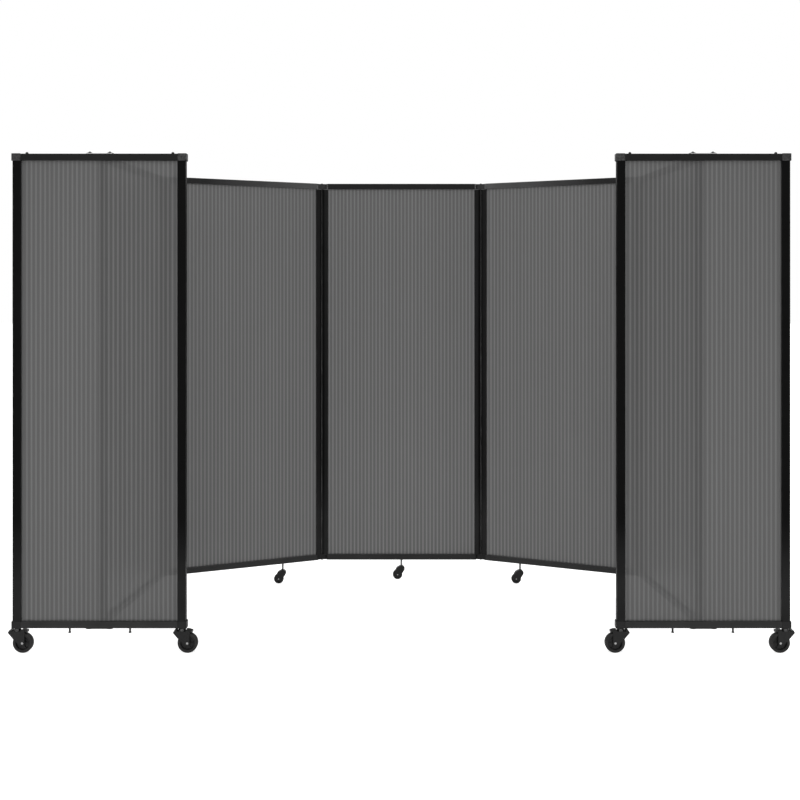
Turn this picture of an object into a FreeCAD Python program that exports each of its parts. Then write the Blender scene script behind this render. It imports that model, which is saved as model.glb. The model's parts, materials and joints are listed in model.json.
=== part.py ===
import FreeCAD, Part

import math
import os
import re

import Sketcher

# Folding room partition on casters: five full-width panels hinged in a chain, and a narrower panel
# across each end of the chain, joined at its own centre. Frames are aluminium around fluted
# twin-wall polycarbonate sheets. +Z is up, the viewer stands at -Y, the origin is on the floor
# under the middle of the whole partition. Millimetres and degrees.

# Driving dimensions
SIZES = {
    # panels
    "chain_pitch": 838,
    "end_width": 722,
    "panel_height": 1979,
    "floor_gap": 104,
    "frame_depth": 32,
    "stile_face": 34,
    "rail_face": 28,
    "frame_wall": 2,
    "edge_chamfer": 2.5,
    # how the partition stands: angles between the panels seen from above
    "inner_yaw": 24.5,
    "outer_yaw": 84.75,
    # fluted sheets
    "sheet_thickness": 8,
    "sheet_skin": 0.9,
    "rib_pitch": 19,
    "rib_wall": 0.9,
    "groove_depth": 8,
    "groove_play": 0.3,
    "sheet_play": 1,
    # hinges
    "joint_gap": 4,
    "turn_gap": 0.6,
    "knuckle_radius": 7,
    "pin_radius": 4,
    "pin_fit": 0.05,
    "pin_wall": 1,
    "pin_depth": 30,
    "seat_thickness": 4,
    "plug_length": 40,
    "plug_play": 0.2,
    "rail_plug": 30,
    "blade_thickness": 3,
    "blade_width": 24,
    "button_radius": 6,
    "button_height": 3.5,
    # corner blocks of the end panels
    "corner_lip": 2,
    "corner_proud": 1.5,
    "corner_overhang": 4.5,
    "corner_round": 3,
    # pivot brackets and screws of the end panels
    "bracket_width": 108,
    "bracket_depth": 28,
    "bracket_thickness": 2.5,
    "bracket_neck": 24,
    "screw_spacing": 84,
    "head_radius": 6.2,
    "head_height": 4.2,
    "head_skirt": 4.2,
    "flange_radius": 17,
    "flange_top_radius": 8,
    "flange_height": 4,
    "low_head_height": 2.5,
    "low_head_skirt": 1,
    "low_flange_height": 1.5,
    "shank_radius": 3,
    "shank_length": 12,
    "knob_inset": 56,
    "stop_pin_spacing": 252,
    "stop_pin_radius": 4,
    "stop_pin_drop": 22,
    "stop_foot_radius": 6,
    "stop_foot_height": 4,
    # big casters
    "big_wheel": 84,
    "big_wheel_width": 26,
    "big_tyre": 10,
    "big_shoulder": 4,
    "big_trail": 24,
    "big_axle_radius": 5,
    "big_rim": 4,
    "big_boss_radius": 9,
    "big_web": 8,
    "fork_plate": 2.5,
    "wheel_play": 1.2,
    "axle_proud": 0.7,
    "crown_gap": 2,
    "crown_thickness": 5,
    "swivel_radius": 15,
    "collar_radius": 9,
    "collar_height": 6,
    "big_stem_radius": 6,
    "big_stem_rise": 28,
    "nose_reach": 36,
    "nose_slope": 6,
    "nose_lip": 5,
    "nose_lip_length": 10,
    "leg_foot": 9,
    "leg_drop": 10,
    "leg_back": 10,
    "ear_width": 14,
    "ear_height": 5.5,
    "leading_x": 14,
    "leading_drop": 26,
    # brake pedals
    "pedal_offset": 24,
    "pedal_barrel": 4.5,
    "pedal_pin_radius": 2.5,
    "pedal_play": 0.8,
    "pedal_reach": 20,
    "pedal_top": 6,
    "pedal_tip_drop": 4,
    "pedal_plate": 8,
    # small casters
    "small_wheel": 50,
    "small_wheel_width": 18,
    "small_tyre": 7,
    "small_shoulder": 3,
    "small_trail": 20,
    "small_axle_radius": 3,
    "small_rim": 3,
    "small_boss_radius": 6,
    "small_web": 6,
    "small_stem_radius": 5,
    "small_stem_rise": 12,
    "small_head_width": 17,
    "small_head_back": 15,
    "small_head_height": 20,
    "small_head_round": 9,
    "small_hood": 15,
    "small_leg_foot": 11,
    "socket_length": 22,
    "inner_caster_inset": 216,
}

# Sizes that follow from the ones above
LINK = "(frame_depth + joint_gap)"
PIVOT = f"((chain_pitch - {LINK}) / 2)"
HALF_DEPTH = "(frame_depth / 2)"
HALF_END = "(end_width / 2)"
BOTTOM = "floor_gap"
TOP = "(floor_gap + panel_height)"
MIDDLE = "(floor_gap + panel_height / 2)"
GROOVE = "(sheet_thickness / 2 + groove_play)"
SHEET_INSET = "(groove_depth - sheet_play)"
CAVITY_HALF = f"({HALF_DEPTH} - frame_wall)"
FITTING_FACE = f"({PIVOT} - knuckle_radius - turn_gap)"
CHAIN_STILE_FLAT = f"({PIVOT} - pin_radius - pin_wall - frame_wall - groove_depth)"
CHAIN_RAIL_END = CHAIN_STILE_FLAT
CHAIN_STILE_TOP = f"({TOP} - rail_face - seat_thickness)"
END_STILE_FLAT = f"({HALF_END} - stile_face)"
CORNER_HEIGHT = "(rail_face + corner_lip)"
BLOCK_BOTTOM = "(floor_gap - corner_proud)"

doc = FreeCAD.newDocument("partition")
sheet = doc.addObject("Spreadsheet::Sheet", "Sizes")
for row, (alias, number) in enumerate(SIZES.items(), start=1):
    sheet.set(f"A{row}", alias)
    sheet.set(f"B{row}", str(number))
    sheet.setAlias(f"B{row}", alias)
doc.recompute()


# Naming sizes in formulas

def named(formula):
    """The formula with each size's alias pointing at the sheet."""
    return re.sub(r"[a-z_]+", lambda m: f"Sizes.{m[0]}" if m[0] in SIZES else m[0], formula)


def value(formula):
    """What a formula comes to with the sheet's numbers."""
    return float(sheet.evalExpression(named(formula)))


def bind(thing, formulas):
    for place, formula in formulas.items():
        thing.setExpression(place, named(formula))


def put(thing, x="0", y="0", z="0"):
    bind(thing, {"Placement.Base.x": x, "Placement.Base.y": y, "Placement.Base.z": z})
    return thing


# Solids and groups of solids

def box(name, x, y, z):
    """A block between the low and high formulas given for each direction."""
    thing = doc.addObject("Part::Box", name)
    sides = zip(("Length", "Width", "Height"), (x, y, z))
    bind(thing, {side: f"{high} - ({low})" for side, (low, high) in sides})
    return put(thing, x[0], y[0], z[0])


def rod(name, radius, low, high, x="0", y="0"):
    """An upright cylinder."""
    thing = doc.addObject("Part::Cylinder", name)
    bind(thing, {"Radius": radius, "Height": f"{high} - ({low})"})
    return put(thing, x, y, low)


def cross_rod(name, radius, reach, x, z):
    """A cylinder along Y that reaches as far to the front as to the back."""
    thing = doc.addObject("Part::Cylinder", name)
    thing.Placement.Rotation = FreeCAD.Rotation(FreeCAD.Vector(1, 0, 0), -90)
    bind(thing, {"Radius": radius, "Height": f"2 * {reach}"})
    return put(thing, x, f"-({reach})", z)


def dome(name, radius, height, x, y, z):
    """The cap of a ball, flat side down at z."""
    ball = f"(({radius} ^ 2 + {height} ^ 2) / (2 * {height}))"
    thing = doc.addObject("Part::Sphere", name)
    thing.Angle2 = 90
    bind(thing, {"Radius": ball, "Angle1": f"asin(1 - {height} / {ball})"})
    return put(thing, x, y, f"{z} + {height} - {ball}")


def fuse(name, *things):
    thing = doc.addObject("Part::MultiFuse", name)
    thing.Shapes = list(things)
    thing.Refine = True
    return thing


def cut(name, base, *tools):
    thing = doc.addObject("Part::Cut", name)
    thing.Base = base
    thing.Tool = tools[0] if len(tools) == 1 else fuse(f"{name}_tools", *tools)
    thing.Refine = True
    return thing


def group(name, *things):
    thing = doc.addObject("Part::Compound", name)
    thing.Links = list(things)
    return thing


def mirror_x(name, source):
    """A copy on the other side of the panel's centre line."""
    thing = doc.addObject("Part::Mirroring", name)
    thing.Source = source
    thing.Normal = FreeCAD.Vector(1, 0, 0)
    return thing


def mirror_z(name, source):
    """A copy at the other end of the panel's height."""
    thing = doc.addObject("Part::Mirroring", name)
    thing.Source = source
    thing.Normal = FreeCAD.Vector(0, 0, 1)
    bind(thing, {"Base.z": MIDDLE})
    return thing


# Sketched bodies

def plane_of(body, role):
    return next(item for item in body.Origin.OriginFeatures if item.Role == role)


def new_sketch(body, name, role):
    sketch = body.newObject("Sketcher::SketchObject", name)
    sketch.AttachmentSupport = [(plane_of(body, role), "")]
    sketch.MapMode = "FlatFace"
    return sketch


def hold(sketch, kind, line, corner, formula):
    """Fixes one distance of a point from the sketch's origin."""
    number = sketch.addConstraint(Sketcher.Constraint(kind, -1, 1, line, corner, value(formula)))
    bind(sketch, {f"Constraints[{number}]": formula})


def hold_point(sketch, line, corner, u, v):
    hold(sketch, "DistanceX", line, corner, u)
    hold(sketch, "DistanceY", line, corner, v)


def draw_loop(sketch, corners):
    """A closed outline of straight lines through corners given as pairs of formulas."""
    points = [FreeCAD.Vector(value(u), value(v), 0) for u, v in corners]
    count = len(points)
    first = sketch.GeometryCount
    for n in range(count):
        sketch.addGeometry(Part.LineSegment(points[n], points[(n + 1) % count]))
    for n in range(count):
        sketch.addConstraint(Sketcher.Constraint("Coincident", first + n, 2, first + (n + 1) % count, 1))
        hold_point(sketch, first + n, 1, *corners[n])


def draw_d_loop(sketch, flat, centre, radius):
    """An outline with a straight end at flat and a half circle about centre."""
    low, high = value(flat), value(centre)
    size = value(radius)
    circle = Part.Circle(FreeCAD.Vector(high, 0, 0), FreeCAD.Vector(0, 0, 1), size)
    sketch.addGeometry(Part.LineSegment(FreeCAD.Vector(low, -size, 0), FreeCAD.Vector(high, -size, 0)))
    sketch.addGeometry(Part.ArcOfCircle(circle, -math.pi / 2, math.pi / 2))
    sketch.addGeometry(Part.LineSegment(FreeCAD.Vector(high, size, 0), FreeCAD.Vector(low, size, 0)))
    sketch.addGeometry(Part.LineSegment(FreeCAD.Vector(low, size, 0), FreeCAD.Vector(low, -size, 0)))
    for n in range(4):
        sketch.addConstraint(Sketcher.Constraint("Coincident", n, 2, (n + 1) % 4, 1))
    for line, corner, u, v in ((0, 1, flat, f"-({radius})"), (1, 1, centre, f"-({radius})")):
        hold_point(sketch, line, corner, u, v)
    for line, corner, u, v in ((1, 2, centre, radius), (2, 2, flat, radius)):
        hold_point(sketch, line, corner, u, v)
    hold(sketch, "DistanceX", 1, 3, centre)


def pad(body, sketch, length, symmetric):
    feature = body.newObject("PartDesign::Pad", f"{body.Name}_pad")
    feature.Profile = sketch
    feature.SideType = "Symmetric" if symmetric else "One side"
    bind(feature, {"Length": length})
    return feature


def bar(name, role, loops, length):
    """A straight bar of one section, reaching as far to each side of the section's plane."""
    body = doc.addObject("PartDesign::Body", name)
    section = new_sketch(body, f"{name}_section", role)
    for corners in loops:
        draw_loop(section, corners)
    pad(body, section, length, True)
    return body


def upright_bar(name, loops, low, high):
    """An upright bar of one section between two heights."""
    body = doc.addObject("PartDesign::Body", name)
    section = new_sketch(body, f"{name}_section", "XY_Plane")
    for corners in loops:
        draw_loop(section, corners)
    pad(body, section, f"{high} - ({low})", False)
    return put(body, z=low)


def d_bar(name, flat, centre, radius, low, high):
    """An upright bar with one half-round side."""
    body = doc.addObject("PartDesign::Body", name)
    section = new_sketch(body, f"{name}_section", "XY_Plane")
    draw_d_loop(section, flat, centre, radius)
    pad(body, section, f"{high} - ({low})", False)
    return put(body, z=low)


def turned(name, corners, x, z):
    """A ring turned about Y, its section given as distances along and from that axis."""
    body = doc.addObject("PartDesign::Body", name)
    section = new_sketch(body, f"{name}_section", "YZ_Plane")
    draw_loop(section, corners)
    feature = body.newObject("PartDesign::Revolution", f"{name}_turn")
    feature.Profile = section
    feature.ReferenceAxis = (section, ["H_Axis"])
    feature.Angle = 360
    return put(body, x, "0", z)


def rectangle(u, v):
    return [(u[0], v[0]), (u[1], v[0]), (u[1], v[1]), (u[0], v[1])]


# Sheets

def fluted_sheet(name, side, notch_x, notch_top):
    """A twin-wall sheet in the grooves of its frame, notched at the corners for the corner pieces."""
    low, high = f"(-({side}))", f"({side})"
    left, right = f"(-({notch_x}))", f"({notch_x})"
    rail_inner = "(rail_face - groove_depth + sheet_play)"
    foot, head = f"({BOTTOM} + {rail_inner})", f"({TOP} - {rail_inner})"
    notch_low, notch_high = f"({BOTTOM} + {notch_top})", f"({TOP} - {notch_top})"
    outline = [
        (left, foot), (right, foot), (right, notch_low), (high, notch_low),
        (high, notch_high), (right, notch_high), (right, head), (left, head),
        (left, notch_high), (low, notch_high), (low, notch_low), (left, notch_low),
    ]
    body = doc.addObject("PartDesign::Body", name)
    face = new_sketch(body, f"{name}_face", "XZ_Plane")
    draw_loop(face, outline)
    pad(body, face, "sheet_thickness", True)
    flutes = f"floor((2 * {side} - rib_wall) / rib_pitch)"
    first = f"(-({flutes}) * rib_pitch / 2 + rib_wall / 2)"
    channel = new_sketch(body, f"{name}_flute", "XY_Plane")
    inside = "(sheet_thickness / 2 - sheet_skin)"
    draw_loop(channel, rectangle((first, f"({first} + rib_pitch - rib_wall)"), (f"(-{inside})", inside)))
    pocket = body.newObject("PartDesign::Pocket", f"{name}_pocket")
    pocket.Profile = channel
    pocket.SideType = "Symmetric"
    bind(pocket, {"Length": f"2 * {TOP}"})
    pattern = body.newObject("PartDesign::LinearPattern", f"{name}_flutes")
    pattern.Originals = [pocket]
    pattern.Direction = (channel, ["H_Axis"])
    bind(pattern, {"Length": f"(({flutes}) - 1) * rib_pitch", "Occurrences": flutes})
    body.Tip = pattern
    return body


# Frames

def rail(name, half_length):
    """A top rail: hollow, with the sheet's groove underneath and chamfered top edges."""
    low, high = f"({TOP} - rail_face)", TOP
    bevel = f"({HALF_DEPTH} - edge_chamfer)"
    floor = f"({low} + groove_depth)"
    outline = [
        (f"(-{HALF_DEPTH})", low), (f"(-{GROOVE})", low), (f"(-{GROOVE})", floor),
        (GROOVE, floor), (GROOVE, low), (HALF_DEPTH, low), (HALF_DEPTH, f"({high} - edge_chamfer)"),
        (bevel, high), (f"(-{bevel})", high), (f"(-{HALF_DEPTH})", f"({high} - edge_chamfer)"),
    ]
    hollow = rectangle((f"(-{CAVITY_HALF})", CAVITY_HALF),
                       (f"({floor} + frame_wall)", f"({high} - frame_wall)"))
    return bar(name, "YZ_Plane", [outline, hollow], f"2 * {half_length}")


def chain_stile(name):
    """A hollow stile with a half-round outer edge about the hinge axis and the sheet's groove inside."""
    low, high = f"({BOTTOM} + rail_face + seat_thickness)", CHAIN_STILE_TOP
    web = f"({CHAIN_STILE_FLAT} + groove_depth)"
    outside = d_bar(f"{name}_outside", CHAIN_STILE_FLAT, PIVOT, HALF_DEPTH, low, high)
    hollow = d_bar(f"{name}_hollow", f"({web} + frame_wall)", PIVOT, CAVITY_HALF, low, high)
    groove = box(f"{name}_groove", (CHAIN_STILE_FLAT, web), (f"(-{GROOVE})", GROOVE), (low, high))
    return cut(name, outside, hollow, groove)


def end_stile(name):
    """A hollow square stile of an end panel with chamfered outer edges and the sheet's groove."""
    web = f"({END_STILE_FLAT} + groove_depth)"
    edge = f"({HALF_END} - edge_chamfer)"
    bevel = f"({HALF_DEPTH} - edge_chamfer)"
    outline = [
        (END_STILE_FLAT, f"(-{HALF_DEPTH})"), (edge, f"(-{HALF_DEPTH})"), (HALF_END, f"(-{bevel})"),
        (HALF_END, bevel), (edge, HALF_DEPTH), (END_STILE_FLAT, HALF_DEPTH),
        (END_STILE_FLAT, GROOVE), (web, GROOVE), (web, f"(-{GROOVE})"), (END_STILE_FLAT, f"(-{GROOVE})"),
    ]
    hollow = rectangle((f"({web} + frame_wall)", f"({HALF_END} - frame_wall)"),
                       (f"(-{CAVITY_HALF})", CAVITY_HALF))
    low, high = f"({BOTTOM} + {CORNER_HEIGHT})", f"({TOP} - {CORNER_HEIGHT})"
    return upright_bar(name, [outline, hollow], low, high)


RAIL_HOLLOW_LOW = f"({TOP} - rail_face + groove_depth + frame_wall)"
RAIL_HOLLOW_HIGH = f"({TOP} - frame_wall)"


def rail_plug(name, start, end):
    """The tongue of a corner piece that fits inside the end of the rail."""
    inside = f"({CAVITY_HALF} - plug_play)"
    return box(name, (start, end), (f"(-{inside})", inside),
               (f"({RAIL_HOLLOW_LOW} + plug_play)", f"({RAIL_HOLLOW_HIGH} - plug_play)"))


def chain_fitting(name):
    """The corner piece of a chain panel: a block beside the rail's end, a seat over the stile's end,
    and a plug in the stile with the bore of the hinge pin."""
    seat_low, seat_high = CHAIN_STILE_TOP, f"({TOP} - rail_face)"
    plug_low = f"({seat_low} - plug_length)"
    plug_flat = f"({CHAIN_STILE_FLAT} + groove_depth + frame_wall + plug_play)"
    block = box(f"{name}_block", (CHAIN_RAIL_END, FITTING_FACE), (f"(-{HALF_DEPTH})", HALF_DEPTH),
                (seat_low, f"({TOP} - turn_gap)"))
    seat = d_bar(f"{name}_seat", CHAIN_RAIL_END, PIVOT, HALF_DEPTH, seat_low, seat_high)
    plug = d_bar(f"{name}_plug", plug_flat, PIVOT, f"({CAVITY_HALF} - plug_play)", plug_low, seat_high)
    tongue = rail_plug(f"{name}_tongue", f"({CHAIN_RAIL_END} - rail_plug)", FITTING_FACE)
    bore = rod(f"{name}_bore", "(pin_radius + pin_fit)", plug_low, seat_high, PIVOT)
    return cut(name, fuse(f"{name}_solid", block, seat, plug, tongue), bore)


def corner_block(name):
    """The corner piece of an end panel: a rounded block that stands a little proud of the frame,
    with a plug in the stile and a tongue in the rail that the plain screw passes through."""
    reach = f"({HALF_DEPTH} + corner_proud)"
    outer = f"({HALF_END} + corner_overhang)"
    low = f"({TOP} - {CORNER_HEIGHT})"
    body = doc.addObject("PartDesign::Body", f"{name}_body")
    face = new_sketch(body, f"{name}_face", "XZ_Plane")
    draw_loop(face, rectangle((END_STILE_FLAT, outer), (low, f"({TOP} + corner_proud)")))
    solid = pad(body, face, f"2 * {reach}", True)
    doc.recompute()
    rounds = body.newObject("PartDesign::Fillet", f"{name}_rounds")
    rounds.Base = (solid, [])
    rounds.UseAllEdges = True
    bind(rounds, {"Radius": "corner_round"})
    tongue = rail_plug(f"{name}_tongue", f"({END_STILE_FLAT} - rail_plug)", f"({END_STILE_FLAT} + corner_round)")
    inside = f"({CAVITY_HALF} - plug_play)"
    web = f"({END_STILE_FLAT} + groove_depth + frame_wall)"
    plug = box(f"{name}_plug", (f"({web} + plug_play)", f"({HALF_END} - frame_wall - plug_play)"),
               (f"(-{inside})", inside), (f"({low} - plug_length)", f"({low} + corner_round)"))
    hole = rod(f"{name}_hole", "(shank_radius + pin_fit)", low, TOP, f"({HALF_END} - knob_inset)")
    return cut(name, fuse(f"{name}_solid", body, tongue, plug), hole)


# Screws, pins and brackets of the end panels

def plain_screw(name, skirt, head_height):
    """A dome-head screw on a round skirt that stands on the top rail near the corner."""
    x = f"({HALF_END} - knob_inset)"
    crown = f"({TOP} + {skirt})"
    shank = rod(f"{name}_shank", "shank_radius", f"({TOP} - shank_length)", crown, x)
    collar = rod(f"{name}_collar", "head_radius", TOP, crown, x)
    return fuse(name, shank, collar, dome(f"{name}_dome", "head_radius", head_height, x, "0", crown))


def flanged_screw(name, flange_height, head_height):
    """A dome-head screw with a wide sloping flange that stands on the bracket's plate."""
    x = "(screw_spacing / 2)"
    seat = f"({TOP} + bracket_thickness)"
    crown = f"({seat} + {flange_height})"
    shank = rod(f"{name}_shank", "shank_radius", f"({TOP} - shank_length)", crown, x)
    flange = doc.addObject("Part::Cone", f"{name}_flange")
    bind(flange, {"Radius1": "flange_radius", "Radius2": "flange_top_radius", "Height": flange_height})
    put(flange, x, "0", seat)
    return fuse(name, shank, flange, dome(f"{name}_dome", "head_radius", head_height, x, "0", crown))


def screw_set(name, skirt, flange_height, head_height):
    """The four screws along one rail: a flanged pair at the bracket and a plain pair near the corners."""
    flanged = flanged_screw(f"{name}_flanged", flange_height, head_height)
    plain = plain_screw(f"{name}_plain", skirt, head_height)
    return group(name, flanged, mirror_x(f"{name}_flanged_left", flanged),
                 plain, mirror_x(f"{name}_plain_left", plain))


def screw_holes(name, clearance):
    """What the top rail loses to its four screws."""
    things = []
    for label, x in (("bracket", "(screw_spacing / 2)"), ("knob", f"({HALF_END} - knob_inset)")):
        one = rod(f"{name}_{label}", f"(shank_radius + {clearance})", f"({TOP} - shank_length)", TOP, x)
        things += [one, mirror_x(f"{name}_{label}_other", one)]
    return things


def pivot_bracket(name):
    """A plate on the top rail with a round neck over the outer panel's end, a boss and a pivot pin."""
    low, high = TOP, f"({TOP} + bracket_thickness)"
    half_neck = "(bracket_neck / 2)"
    plate = box(f"{name}_plate", ("(-bracket_width / 2)", "(bracket_width / 2)"),
                ("(-bracket_depth / 2)", "(bracket_depth / 2)"), (low, high))
    neck = box(f"{name}_neck", (f"(-{half_neck})", half_neck), ("0", LINK), (low, high))
    eye = rod(f"{name}_eye", half_neck, low, high, "0", LINK)
    boss = rod(f"{name}_boss", "knuckle_radius", f"({TOP} - rail_face + turn_gap)", high, "0", LINK)
    pin = rod(f"{name}_pin", "pin_radius", f"({CHAIN_STILE_TOP} - pin_depth)", high, "0", LINK)
    holes = [rod(f"{name}_hole", "(shank_radius + pin_fit)", low, high, "(screw_spacing / 2)")]
    holes.append(mirror_x(f"{name}_hole_other", holes[0]))
    return cut(name, fuse(f"{name}_solid", plate, neck, eye, boss, pin), *holes)


STOP_PIN_X = "(stop_pin_spacing / 2)"
STOP_PIN_TOP = f"({BOTTOM} + rail_face - groove_depth - frame_wall)"


def stop_pin(name):
    """A pin with a round foot that hangs from the bottom rail."""
    low = f"({BOTTOM} - stop_pin_drop)"
    shank = rod(f"{name}_shank", "stop_pin_radius", low, STOP_PIN_TOP, STOP_PIN_X)
    foot = rod(f"{name}_foot", "stop_foot_radius", low, f"({low} + stop_foot_height)", STOP_PIN_X)
    return fuse(name, shank, foot)


# Hinges: a post between two panels, seen from its own middle, with a pin at each side

def knuckle(name):
    """The top link block of a hinge post, with its button and the two pin holes."""
    half = f"({LINK} / 2)"
    low, high = f"({TOP} - rail_face + turn_gap)", f"({TOP} - turn_gap)"
    middle = box(f"{name}_middle", (f"(-{half})", half), ("(-knuckle_radius)", "knuckle_radius"), (low, high))
    ends = [rod(f"{name}_end_{n}", "knuckle_radius", low, high, x) for n, x in enumerate((f"(-{half})", half))]
    button = dome(f"{name}_button", "button_radius", "button_height", "0", "0", high)
    holes = [rod(f"{name}_hole_{n}", "(pin_radius + pin_fit)", low, high, x)
             for n, x in enumerate((f"(-{half})", half))]
    return cut(name, fuse(f"{name}_solid", middle, *ends, button), *holes)


def hinge_post(name):
    """Two link blocks on one blade that fills the gap between the stiles."""
    top = knuckle(f"{name}_top")
    low, high = f"({BOTTOM} + rail_face - turn_gap)", f"({TOP} - rail_face + turn_gap)"
    blade = box(f"{name}_blade", ("(-blade_thickness / 2)", "(blade_thickness / 2)"),
                ("(-blade_width / 2)", "(blade_width / 2)"), (low, high))
    return fuse(name, top, mirror_z(f"{name}_bottom", top), blade)


def hinge_pins(name):
    low, high = f"({CHAIN_STILE_TOP} - pin_depth)", f"({TOP} - turn_gap)"
    pins = []
    for n, x in enumerate((f"(-{LINK} / 2)", f"({LINK} / 2)")):
        pin = rod(f"{name}_top_{n}", "pin_radius", low, high, x)
        pins += [pin, mirror_z(f"{name}_bottom_{n}", pin)]
    return group(name, *pins)


# Casters, seen from the stem's axis on the floor, trailing to +X

def wheel(name, size, trail):
    """A hub with thin web and a tyre around it."""
    centre = f"{size}_wheel / 2"
    half, seat = f"({size}_wheel_width / 2)", f"({centre} - {size}_tyre)"
    shoulder = f"({centre} - {size}_shoulder)"
    tread = f"({half} - {size}_shoulder)"
    tyre = turned(f"{name}_tyre", [
        (f"(-{half})", seat), (half, seat), (half, shoulder),
        (tread, centre), (f"(-{tread})", centre), (f"(-{half})", shoulder),
    ], trail, centre)
    bore = f"({size}_axle_radius + pin_fit)"
    rim, web = f"({seat} - {size}_rim)", f"({size}_web / 2)"
    boss = f"{size}_boss_radius"
    side = [(half, bore), (half, boss), (web, boss), (web, rim), (half, rim), (half, seat)]
    other = [(f"(-{u})", v) for u, v in reversed(side)]
    hub = turned(f"{name}_hub", side + other, trail, centre)
    return group(name, hub, tyre)


def axle(name, size, trail):
    reach = f"({size}_wheel_width / 2 + wheel_play + fork_plate + axle_proud)"
    return cross_rod(name, f"{size}_axle_radius", reach, trail, f"({size}_wheel / 2)")


BIG_SLOT = "(big_wheel_width / 2 + wheel_play)"
CROWN_LOW = "(big_wheel + crown_gap)"
CROWN_HIGH = "(big_wheel + crown_gap + crown_thickness)"
PEDAL_WINDOW = "(pedal_offset - ear_width / 2)"


def big_fork(name):
    """Two side plates and a crown with a nose in front and two ears behind for the pedal's pin."""
    foot = "(big_wheel / 2 - leg_drop)"
    ear_top = f"({CROWN_HIGH} + ear_height)"
    lip_top = f"({CROWN_HIGH} + nose_lip)"
    lip_end = "(-nose_reach + nose_slope + nose_lip_length)"
    outline = [
        ("(-nose_reach)", CROWN_LOW), ("(-leading_x)", f"({CROWN_LOW} - leading_drop)"),
        ("(big_trail - leg_foot)", foot), ("(big_trail + leg_foot)", foot),
        ("(big_trail + leg_back)", CROWN_LOW), ("(pedal_offset + ear_width / 2)", ear_top),
        (PEDAL_WINDOW, ear_top), (PEDAL_WINDOW, CROWN_HIGH), (lip_end, CROWN_HIGH),
        (lip_end, lip_top), ("(-nose_reach + nose_slope)", lip_top),
    ]
    plates = bar(f"{name}_plates", "XZ_Plane", [outline], f"2 * ({BIG_SLOT} + fork_plate)")
    head_top = f"({BLOCK_BOTTOM} - collar_height)"
    head = rod(f"{name}_head", "swivel_radius", CROWN_LOW, head_top)
    collar = rod(f"{name}_collar", "collar_radius", CROWN_LOW, f"({BLOCK_BOTTOM} - turn_gap)")
    stem = rod(f"{name}_stem", "big_stem_radius", CROWN_LOW, f"({BLOCK_BOTTOM} + big_stem_rise)")
    slot = box(f"{name}_slot", ("(big_trail - big_wheel / 2 - crown_gap)", "(big_trail + big_wheel)"),
               (f"(-{BIG_SLOT})", BIG_SLOT), ("0", CROWN_LOW))
    window = box(f"{name}_window", (PEDAL_WINDOW, "(big_trail + big_wheel)"),
                 (f"(-{BIG_SLOT})", BIG_SLOT), (foot, f"({ear_top} + pedal_play)"))
    reach = f"({BIG_SLOT} + fork_plate)"
    eye = cross_rod(f"{name}_eye", "(big_axle_radius + pin_fit)", reach, "big_trail", "(big_wheel / 2)")
    pin_eye = cross_rod(f"{name}_pin_eye", "(pedal_pin_radius + pin_fit)", reach, "pedal_offset", CROWN_HIGH)
    return cut(name, fuse(f"{name}_solid", plates, head, collar, stem), slot, window, eye, pin_eye)


def pedal(name):
    """The brake pedal: a sloping tongue on a barrel whose pin ends turn in the fork's ears."""
    start, top = "(pedal_offset - pedal_barrel)", f"({CROWN_HIGH} + pedal_top)"
    tip = "(pedal_offset + pedal_reach)"
    tip_top = f"({top} - pedal_tip_drop)"
    outline = [
        (start, CROWN_HIGH), ("(pedal_offset + pedal_barrel)", CROWN_HIGH),
        (tip, f"({tip_top} - pedal_plate)"), (tip, tip_top),
        ("(pedal_offset + pedal_barrel)", top), (start, top),
    ]
    inside = f"({BIG_SLOT} - pedal_play)"
    tongue = bar(f"{name}_tongue", "XZ_Plane", [outline], f"2 * {inside}")
    barrel = cross_rod(f"{name}_barrel", "pedal_barrel", inside, "pedal_offset", CROWN_HIGH)
    pin = cross_rod(f"{name}_pin", "pedal_pin_radius", f"({BIG_SLOT} + fork_plate)", "pedal_offset", CROWN_HIGH)
    return fuse(name, tongue, barrel, pin)


def small_fork(name):
    """A rounded hood over a small wheel, with side plates down to the axle."""
    slot = "(small_wheel_width / 2 + wheel_play)"
    top = "(small_wheel + small_head_height)"
    crown = "(small_wheel + wheel_play)"
    foot = "(small_wheel / 2 - small_leg_foot)"
    axle_z = "(small_wheel / 2)"
    outline = [
        ("(-small_head_width)", crown), ("0", axle_z), ("(small_trail - small_leg_foot)", foot),
        ("(small_trail + small_leg_foot)", foot), ("(small_trail + small_hood)", axle_z),
        ("(small_trail + small_hood)", "(small_wheel - small_head_round)"),
        ("(small_trail + small_head_round / 2)", f"({top} - small_head_round)"), ("small_head_round", top),
        ("(-small_head_round)", top), ("(-small_head_width)", f"({top} - small_head_round)"),
    ]
    reach = f"({slot} + fork_plate)"
    plates = bar(f"{name}_plates", "XZ_Plane", [outline], f"2 * {reach}")
    stem = rod(f"{name}_stem", "small_stem_radius", f"({top} - small_head_round)",
               f"({BOTTOM} + small_stem_rise)")
    room = box(f"{name}_room", ("(small_trail - small_wheel / 2 - wheel_play)", "(small_trail + small_wheel)"),
               (f"(-{slot})", slot), ("0", crown))
    eye = cross_rod(f"{name}_eye", "(small_axle_radius + pin_fit)", reach, "small_trail", axle_z)
    return cut(name, fuse(f"{name}_solid", plates, stem), room, eye)


def caster_socket(name, x):
    """The block inside the bottom rail that holds a small caster's stem."""
    inside = f"({CAVITY_HALF} - plug_play)"
    low = f"({BOTTOM} + frame_wall)"
    high = f"({BOTTOM} + rail_face - groove_depth - frame_wall - plug_play)"
    block = box(f"{name}_block", (f"({x} - socket_length / 2)", f"({x} + socket_length / 2)"),
                (f"(-{inside})", inside), (low, high))
    bore = rod(f"{name}_bore", "(small_stem_radius + pin_fit)", low, high, x)
    return cut(name, block, bore)


# The shared pieces of a chain panel and of an end panel, in the panel's own frame

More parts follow.
